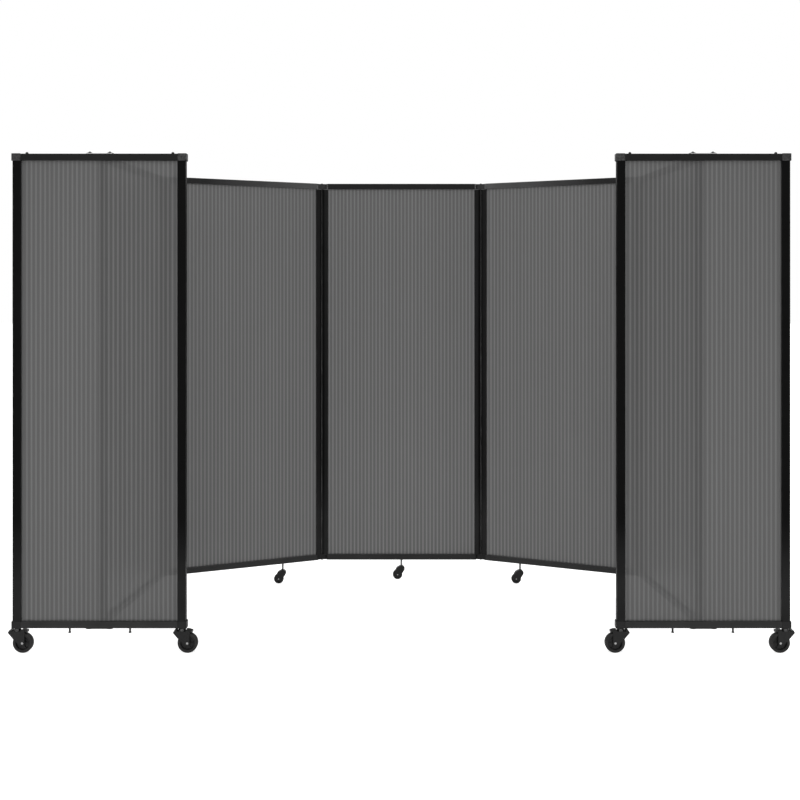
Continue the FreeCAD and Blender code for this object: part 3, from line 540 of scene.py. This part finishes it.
def make_sheet(name, half_width, notch, low, high):
    """A slab between two heights, its corners cut away by the notch's width and height."""
    notch_x = half_width - notch[0]
    columns = sheet_columns(half_width, notch_x)
    rows = (low, low + notch[1], high - notch[1], high)
    middle_row = 1
    mesh = bmesh.new()
    grid = {}
    for i, x in enumerate(columns):
        for j, z in enumerate(rows):
            grid[i, j] = mesh.verts.new((x, -rib_surface(x), z))
    faces = []
    for i in range(len(columns) - 1):
        middle = (columns[i] + columns[i + 1]) / 2
        for j in range(len(rows) - 1):
            if j == middle_row or abs(middle) < notch_x:
                corners = (grid[i, j], grid[i + 1, j], grid[i + 1, j + 1], grid[i, j + 1])
                faces.append(mesh.faces.new(corners))
    loose = [vertex for vertex in mesh.verts if not vertex.link_faces]
    bmesh.ops.delete(mesh, geom=loose, context="VERTS")
    back = bmesh.ops.extrude_face_region(mesh, geom=faces, use_keep_orig=True)
    for item in back["geom"]:
        if isinstance(item, bmesh.types.BMVert):
            item.co.y = -item.co.y
    return finished_mesh(name, mesh, sharp_angle=40)


def panel_place(first, second):
    """Where a panel's own frame stands, from the places of its two end joints, left one first."""
    a, b = (Vector(joints[name]["pos_m"]) for name in (first, second))
    middle = (a + b) / 2
    turn = math.atan2(b.y - a.y, b.x - a.x)
    return Matrix.Translation((middle.x, middle.y, 0)) @ Matrix.Rotation(turn, 4, "Z")


def end_place(side):
    """Where an end panel's own frame stands, from the middle of its sheet."""
    low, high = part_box(f"{side}_end_sheet")
    return Matrix.Translation(((low.x + high.x) / 2, (low.y + high.y) / 2, 0))


PANEL_PLACES = {
    "centre": panel_place("left_centre_hinge_near", "right_centre_hinge_near"),
    "left_inner": panel_place("left_outer_hinge_near", "left_centre_hinge_far"),
    "right_inner": panel_place("right_centre_hinge_far", "right_outer_hinge_near"),
    "left_outer": panel_place("left_end_pivot", "left_outer_hinge_far"),
    "right_outer": panel_place("right_outer_hinge_far", "right_end_pivot"),
    "left_end": end_place("left"),
    "right_end": end_place("right"),
}


def add_sheets(chain_material, end_material):
    """A fluted sheet in every panel, in place of its plain one."""
    low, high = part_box("centre_sheet")
    chain = make_sheet("chain_sheet", (high.x - low.x) / 2, CHAIN_NOTCH, low.z, high.z)
    low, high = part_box("left_end_sheet")
    end = make_sheet("end_sheet", (high.x - low.x) / 2, END_NOTCH, low.z, high.z)
    for panel, place in PANEL_PLACES.items():
        data, material = (end, end_material) if panel.endswith("_end") else (chain, chain_material)
        add_piece(f"{panel}_fluted_sheet", data, place, f"{panel}_panel", material,
                  [f"{panel}_sheet"])


# Turned pieces: a profile of (along, radius) turned about Y

def turned_mesh(name, profile, steps=64, six_sided=()):
    """The profile turned about Y. The points that six_sided lists go round a hexagon."""
    mesh = bmesh.new()
    rings = []
    sixth = math.pi / 3
    for n in range(steps):
        angle = 2 * math.pi * n / steps
        flat_share = math.cos(sixth / 2) / math.cos(angle % sixth - sixth / 2)
        ring = []
        for k, (along, radius) in enumerate(profile):
            r = radius * flat_share if k in six_sided else radius
            ring.append(mesh.verts.new((r * math.cos(angle), along, r * math.sin(angle))))
        rings.append(ring)
    count = len(profile)
    for n in range(steps):
        here, there = rings[n], rings[(n + 1) % steps]
        for k in range(count):
            m = (k + 1) % count
            mesh.faces.new((here[k], here[m], there[m], there[k]))
    return finished_mesh(name, mesh, sharp_angle=35)


def upright(x, y, z, downwards=False):
    """A place that turns what points along Y to point up, or down."""
    turn = -90 if downwards else 90
    return Matrix.Translation((x, y, z)) @ Matrix.Rotation(math.radians(turn), 4, "X")


# Wheels

def tyre_profile(half, seat, tread, round_off):
    """A tyre with rounded shoulders and a slightly crowned tread."""
    side = [(half, seat), (half, tread - round_off)]
    for n in range(1, ROUND_STEPS + 1):
        angle = math.radians(90 * n / ROUND_STEPS)
        side.append((half - round_off * (1 - math.cos(angle)),
                     tread - round_off * (1 - math.sin(angle))))
    other = [(-y, r) for y, r in reversed(side)]
    return side + other


def hub_profile(sizes, lip):
    """A hub with a raised boss, a dished web and a lipped rim."""
    half = sizes["half_width"] - lip / 2
    boss, web, rim = sizes["boss"], sizes["web"], sizes["rim"]
    seat = sizes["tread"] - sizes["tyre"]
    side = [
        (half, sizes["bore"]), (half, boss - lip), (half - lip, boss), (web, boss + lip),
        (web, rim - 2 * lip), (half - lip, rim), (half, rim + lip), (half, seat),
    ]
    other = [(-y, r) for y, r in reversed(side)]
    return side + other


def spokes_mesh(name, count, sizes):
    """Spokes between boss and rim on both faces of a hub."""
    width = sizes["half_width"] * SPOKE_SHARES["width"]
    depth = sizes["half_width"] * SPOKE_SHARES["depth"]
    inner = sizes["boss"] * SPOKE_SHARES["inner"]
    outer = sizes["rim"] * SPOKE_SHARES["outer"]
    mesh = bmesh.new()
    for n in range(count):
        turn = Matrix.Rotation(2 * math.pi * n / count, 4, "Y")
        shape = bmesh.ops.create_cube(mesh, size=1.0)["verts"]
        bmesh.ops.scale(mesh, verts=shape, vec=(outer - inner, 2 * depth, width))
        bmesh.ops.translate(mesh, verts=shape, vec=((outer + inner) / 2, 0, 0))
        bmesh.ops.transform(mesh, verts=shape, matrix=turn)
    bmesh.ops.bevel(mesh, geom=mesh.edges, offset=width / 5, segments=2, affect="EDGES")
    return finished_mesh(name, mesh, sharp_angle=35)


def axle_place(caster):
    """The middle of a caster's wheel."""
    x, y, z = joints[f"{caster}_wheel_spin"]["pos_m"]
    return Matrix.Translation((x, y, z))


def add_wheels(rubber, plastic):
    """Tyre, hub and spokes of every caster, in place of its plain wheel."""
    for size, casters, sizes, spokes in (("big", END_CASTERS, BIG_CASTER, 6),
                                         ("small", SMALL_CASTERS, SMALL_CASTER, 5)):
        seat = sizes["tread"] - sizes["tyre"]
        profile = tyre_profile(sizes["half_width"], seat, sizes["tread"], sizes["tyre"] / 2)
        tyre = turned_mesh(f"{size}_tyre", profile, steps=96)
        hub = turned_mesh(f"{size}_hub", hub_profile(sizes, sizes["half_width"] * HUB_LIP_SHARE))
        ribs = spokes_mesh(f"{size}_spokes", spokes, sizes)
        for caster in casters:
            place, body = axle_place(caster), f"{caster}_wheel"
            add_piece(f"{caster}_tyre", tyre, place, body, rubber, [f"{caster}_wheel"])
            add_piece(f"{caster}_hub", hub, place, body, plastic, [f"{caster}_wheel"])
            add_piece(f"{caster}_spokes", ribs, place, body, plastic)


# Small pieces of the casters

def add_axle_caps(steel):
    """Domed steel rivet heads on the ends of the axles."""
    for size, casters, sizes in (("big", END_CASTERS, BIG_CASTER), ("small", SMALL_CASTERS, SMALL_CASTER)):
        reach, radius = sizes["reach"], sizes["axle"]
        height = radius * RIVET_RISE_SHARE
        profile = [(reach - height, AXIS_HOLE), (reach - height, radius), (reach, radius),
                   (reach + height * 0.6, radius * 0.78), (reach + height, radius * 0.35),
                   (reach + height * 0.92, AXIS_HOLE)]
        data = turned_mesh(f"{size}_rivet", profile, steps=40)
        for caster in casters:
            for way, turn in (("front", math.pi), ("back", 0)):
                place = axle_place(caster) @ Matrix.Rotation(turn, 4, "Z")
                add_piece(f"{caster}_rivet_{way}", data, place, f"{caster}_fork", steel)


def add_swivel_races(steel):
    """The stepped steel ball race between each big fork and its corner block."""
    profile = [
        (RACE_LOW, STEM_RADIUS), (RACE_LOW, RACE_RADIUS - EDGE_ROUND), (RACE_LOW + EDGE_ROUND, RACE_RADIUS),
        (RACE_STEP - EDGE_ROUND, RACE_RADIUS), (RACE_STEP, RACE_RADIUS - EDGE_ROUND),
        (RACE_STEP, RACE_NECK_RADIUS), (RACE_TOP - EDGE_ROUND, RACE_NECK_RADIUS),
        (RACE_TOP, RACE_NECK_RADIUS - EDGE_ROUND), (RACE_TOP, STEM_RADIUS),
    ]
    data = turned_mesh("swivel_race", profile, steps=56)
    for caster in END_CASTERS:
        x, y, _ = joints[f"{caster}_swivel"]["pos_m"]
        add_piece(f"{caster}_race", data, upright(x, y, 0), f"{caster}_fork", steel)


def add_small_stems(steel):
    """Threaded steel sleeves on the visible part of the small casters' stems."""
    pitch = THREAD["pitch"]
    count = math.floor((FLOOR_GAP - THREAD["play"] - STEM_LOW) / pitch)
    profile = [(STEM_LOW, THREAD["end"])]
    for n in range(count):
        start = STEM_LOW + n * pitch
        profile += [(start + pitch * 0.2, THREAD["root"]), (start + pitch * 0.6, THREAD["crest"])]
    profile.append((STEM_LOW + count * pitch, THREAD["end"]))
    data = turned_mesh("threaded_stem", profile, steps=32)
    for caster in SMALL_CASTERS:
        x, y, _ = joints[f"{caster}_swivel"]["pos_m"]
        add_piece(f"{caster}_stem_thread", data, upright(x, y, 0), f"{caster}_fork", steel)


def add_pedal_ridges(plastic):
    """Three grip ridges across each brake pedal."""
    mesh = bmesh.new()
    for n in range(3):
        shape = bmesh.ops.create_cube(mesh, size=1.0)["verts"]
        bmesh.ops.scale(mesh, verts=shape, vec=RIDGE_SIZE)
        bmesh.ops.translate(mesh, verts=shape, vec=(RIDGE_START[0] + n * RIDGE_STEP[0], 0,
                                                    RIDGE_START[1] + n * RIDGE_STEP[1]))
    bmesh.ops.bevel(mesh, geom=mesh.edges, offset=RIDGE_SIZE[2] / 3, segments=2, affect="EDGES")
    data = finished_mesh("pedal_ridges", mesh, sharp_angle=40)
    for caster in END_CASTERS:
        x, y, z = joints[f"{caster}_brake"]["pos_m"]
        forward = x > joints[f"{caster}_swivel"]["pos_m"][0]
        place = Matrix.Translation((x, y, z)) @ Matrix.Rotation(0 if forward else math.pi, 4, "Z")
        add_piece(f"{caster}_pedal_ridges", data, place, f"{caster}_pedal", plastic)


# Screws and stop pins of the end panels

def dome_points(base, radius, height):
    """Points up a dome from its rim to the edge of its hexagon socket, then down the socket."""
    ball = (radius ** 2 + height ** 2) / (2 * height)
    rim = SOCKET_REACH * 1.15
    points = []
    for n in range(ROUND_STEPS + 1):
        r = radius + (rim - radius) * n / ROUND_STEPS
        points.append((base + math.sqrt(ball ** 2 - r ** 2) - ball + height, r))
    top = points[-1][0]
    depth = min(SOCKET_DEPTH, height * 0.6)
    socket = [(top - depth * 0.15, SOCKET_REACH), (top - depth, SOCKET_REACH), (top - depth, AXIS_HOLE)]
    return points + socket


def screw_mesh(name, profile):
    """A screw turned with a hexagon socket, which is the profile's last points but one."""
    count = len(profile)
    return turned_mesh(name, profile, steps=48, six_sided=(count - 3, count - 2))


def plain_screw(name, sizes):
    """A dome head on a straight skirt."""
    profile = [
        (-SCREW_SHANK[1], AXIS_HOLE), (-SCREW_SHANK[1], SCREW_SHANK[0]), (0, SCREW_SHANK[0]),
        (0, SCREW_RADIUS),
    ] + dome_points(sizes["skirt"], SCREW_RADIUS, sizes["head"])
    return screw_mesh(name, profile)


def flanged_screw(name, sizes):
    """A dome head on a wide sloping flange, which sits on the bracket."""
    base = BRACKET_THICKNESS
    crown = base + sizes["flange"]
    profile = [
        (-SCREW_SHANK[1], AXIS_HOLE), (-SCREW_SHANK[1], SCREW_SHANK[0]), (base, SCREW_SHANK[0]),
        (base, FLANGE_RADIUS - EDGE_ROUND / 2), (base + EDGE_ROUND / 2, FLANGE_RADIUS - EDGE_ROUND),
        (crown - EDGE_ROUND / 2, FLANGE_TOP_RADIUS), (crown, SCREW_RADIUS),
    ] + dome_points(crown, SCREW_RADIUS * 0.98, sizes["head"])
    return screw_mesh(name, profile)


def add_screws(material):
    """The screws of both end panels, in place of their plain solids."""
    rows = (("upper", UPPER_SCREWS, PANEL_TOP, False), ("lower", LOWER_SCREWS, FLOOR_GAP, True))
    for level, sizes, height, downwards in rows:
        plain = plain_screw(f"{level}_plain_screw", sizes)
        flanged = flanged_screw(f"{level}_flanged_screw", sizes)
        for side in SIDES:
            centre = PANEL_PLACES[f"{side}_end"].translation
            for way, word in ((-1, "left"), (1, "right")):
                for kind, data, reach in (("plain", plain, END_HALF - KNOB_INSET),
                                          ("flanged", flanged, SCREW_SPACING / 2)):
                    place = upright(centre.x + way * reach, centre.y, height, downwards)
                    add_piece(f"{side}_end_{level}_{kind}_screw_{word}", data, place, f"{side}_end_panel",
                              material, [f"{side}_end_screws"])


def add_stop_pins(material):
    """The stop pins under the end panels: a shank, a collar at the rail and a round-edged foot."""
    drop, foot = STOP_PIN_DROP, STOP_PIN_DROP - STOP_FOOT_HEIGHT
    profile = [
        (-STOP_PIN_RISE, AXIS_HOLE), (-STOP_PIN_RISE, STOP_PIN_RADIUS), (foot - EDGE_ROUND, STOP_PIN_RADIUS),
        (foot, STOP_PIN_RADIUS + EDGE_ROUND), (foot + EDGE_ROUND / 2, STOP_FOOT_RADIUS),
        (drop - EDGE_ROUND, STOP_FOOT_RADIUS), (drop, STOP_FOOT_RADIUS - EDGE_ROUND), (drop, AXIS_HOLE),
    ]
    data = turned_mesh("stop_pin", profile, steps=40)
    for side in SIDES:
        centre = PANEL_PLACES[f"{side}_end"].translation
        for way, word in ((-1, "left"), (1, "right")):
            place = upright(centre.x + way * STOP_PIN_SPACING / 2, centre.y, FLOOR_GAP, True)
            add_piece(f"{side}_end_stop_pin_{word}", data, place, f"{side}_end_panel", material,
                      [f"{side}_end_stop_pins"])


def dress_frame_nodes(finishes):
    """Each CAD node that stays visible gets its finish, and the sharp-edged ones a small bevel.
    Of two endings that both fit a node, the later and longer one holds."""
    for name, node in nodes.items():
        for ending, (material, bevel) in finishes.items():
            if name.endswith(ending):
                node.data.materials.clear()
                node.data.materials.append(material)
                if bevel:
                    weld = node.modifiers.new("weld", "WELD")
                    weld.merge_threshold = WELD_REACH
                    soften = node.modifiers.new("soften", "BEVEL")
                    soften.width = bevel
                    soften.segments = 2
                    soften.limit_method = "ANGLE"
                    soften.angle_limit = math.radians(BEVEL_FROM_ANGLE)
                    soften.harden_normals = True


# Build the scene
add_camera()
set_world()
add_floor(lift=0.7)
add_softbox("key", KEY)
add_softbox("fill", FILL)
add_softbox("back", BACK)
add_softbox("overhead", OVERHEAD)

# The end stiles are painted darker than the chain stiles: painted shade that offsets the nearer lamps.
end_stile_coat = frame_coat("end_stile_coat", upper=0.0015, lower=0.014, rough=0.42, specular=0.04)
chain_stile_coat = frame_coat("chain_stile_coat", upper=0.0045, lower=0.014, rough=0.42, specular=0.08)
# The rails are painted a little paler than the chain stiles: a painted highlight for the light their ridges
# catch.
rail_coat = frame_coat("rail_coat", upper=0.006, lower=0.024, rough=0.4, specular=0.1)
# inner is the colour of the painted reflection on the top inner rails.
inner_coat_and_reflection = inner_rail_coat_and_reflection(outer=0.007, inner=0.07, lower=0.027, rough=0.38, specular=0.12)
post_coat = hinge_post_coat("post_coat", link=0.018, upper=0.006, lower=0.012, rough=0.36, specular=0.12)
screw_coat = coated_metal("screw_coat", level=0.005, rough=0.36, specular=0.12)
# upper and lower: the same plastic with painted light at the top and painted shade at the bottom.
corner = corner_plastic("corner_plastic", upper=0.022, lower=0.0045)
fitting = corner_plastic("fitting_plastic", upper=0.055, lower=0.006)
caster_plastic = moulded_plastic("caster_plastic", level=0.006, rough=0.42, specular=0.2)
hub_plastic = moulded_plastic("hub_plastic", level=0.007, rough=0.42, specular=0.2)
pedal_plastic = moulded_plastic("pedal_plastic", level=0.009, rough=0.42, specular=0.2)
steel = plated_steel("zinc_steel", level=0.34, rough=0.36)
race_steel = plated_steel("race_steel", level=0.1, rough=0.3)
bracket = bracket_steel("bracket_steel", upper=0.5, lower=0.03, rough=0.36)
rubber = tyre_rubber()
# The chain sheets are painted paler than the end sheets, as painted light that offsets the shade of the
# recess they stand in.
chain_flutes = fluted_plastic("chain_flutes", upper=0.83, lower=1.31, line=0.147)
end_flutes = fluted_plastic("end_flutes", upper=0.71, lower=0.92, line=0.133)

dress_frame_nodes({
    "_stiles": (chain_stile_coat, 0), "_end_stiles": (end_stile_coat, 0),
    "_rails": (rail_coat, 0), "_inner_rails": (inner_coat_and_reflection, 0),
    "_corner_fittings": (fitting, 0.6 * MM),
    "_corner_blocks": (corner, 0), "_hinge_post": (post_coat, 0.5 * MM), "_hinge_pins": (steel, 0),
    "_pivot_brackets": (bracket, 0.4 * MM), "_screws": (screw_coat, 0), "_stop_pins": (screw_coat, 0),
    "_caster_fork": (caster_plastic, 1.2 * MM), "_caster_pedal": (pedal_plastic, 0.7 * MM),
    "_caster_wheel": (rubber, 0), "_sheet": (chain_flutes, 0), "_end_sheet": (end_flutes, 0),
})
add_sheets(chain_flutes, end_flutes)
add_wheels(rubber, hub_plastic)
add_axle_caps(steel)
add_swivel_races(race_steel)
add_small_stems(steel)
add_pedal_ridges(pedal_plastic)
add_screws(screw_coat)
add_stop_pins(screw_coat)

bpy.context.scene.view_settings.view_transform = "Standard"
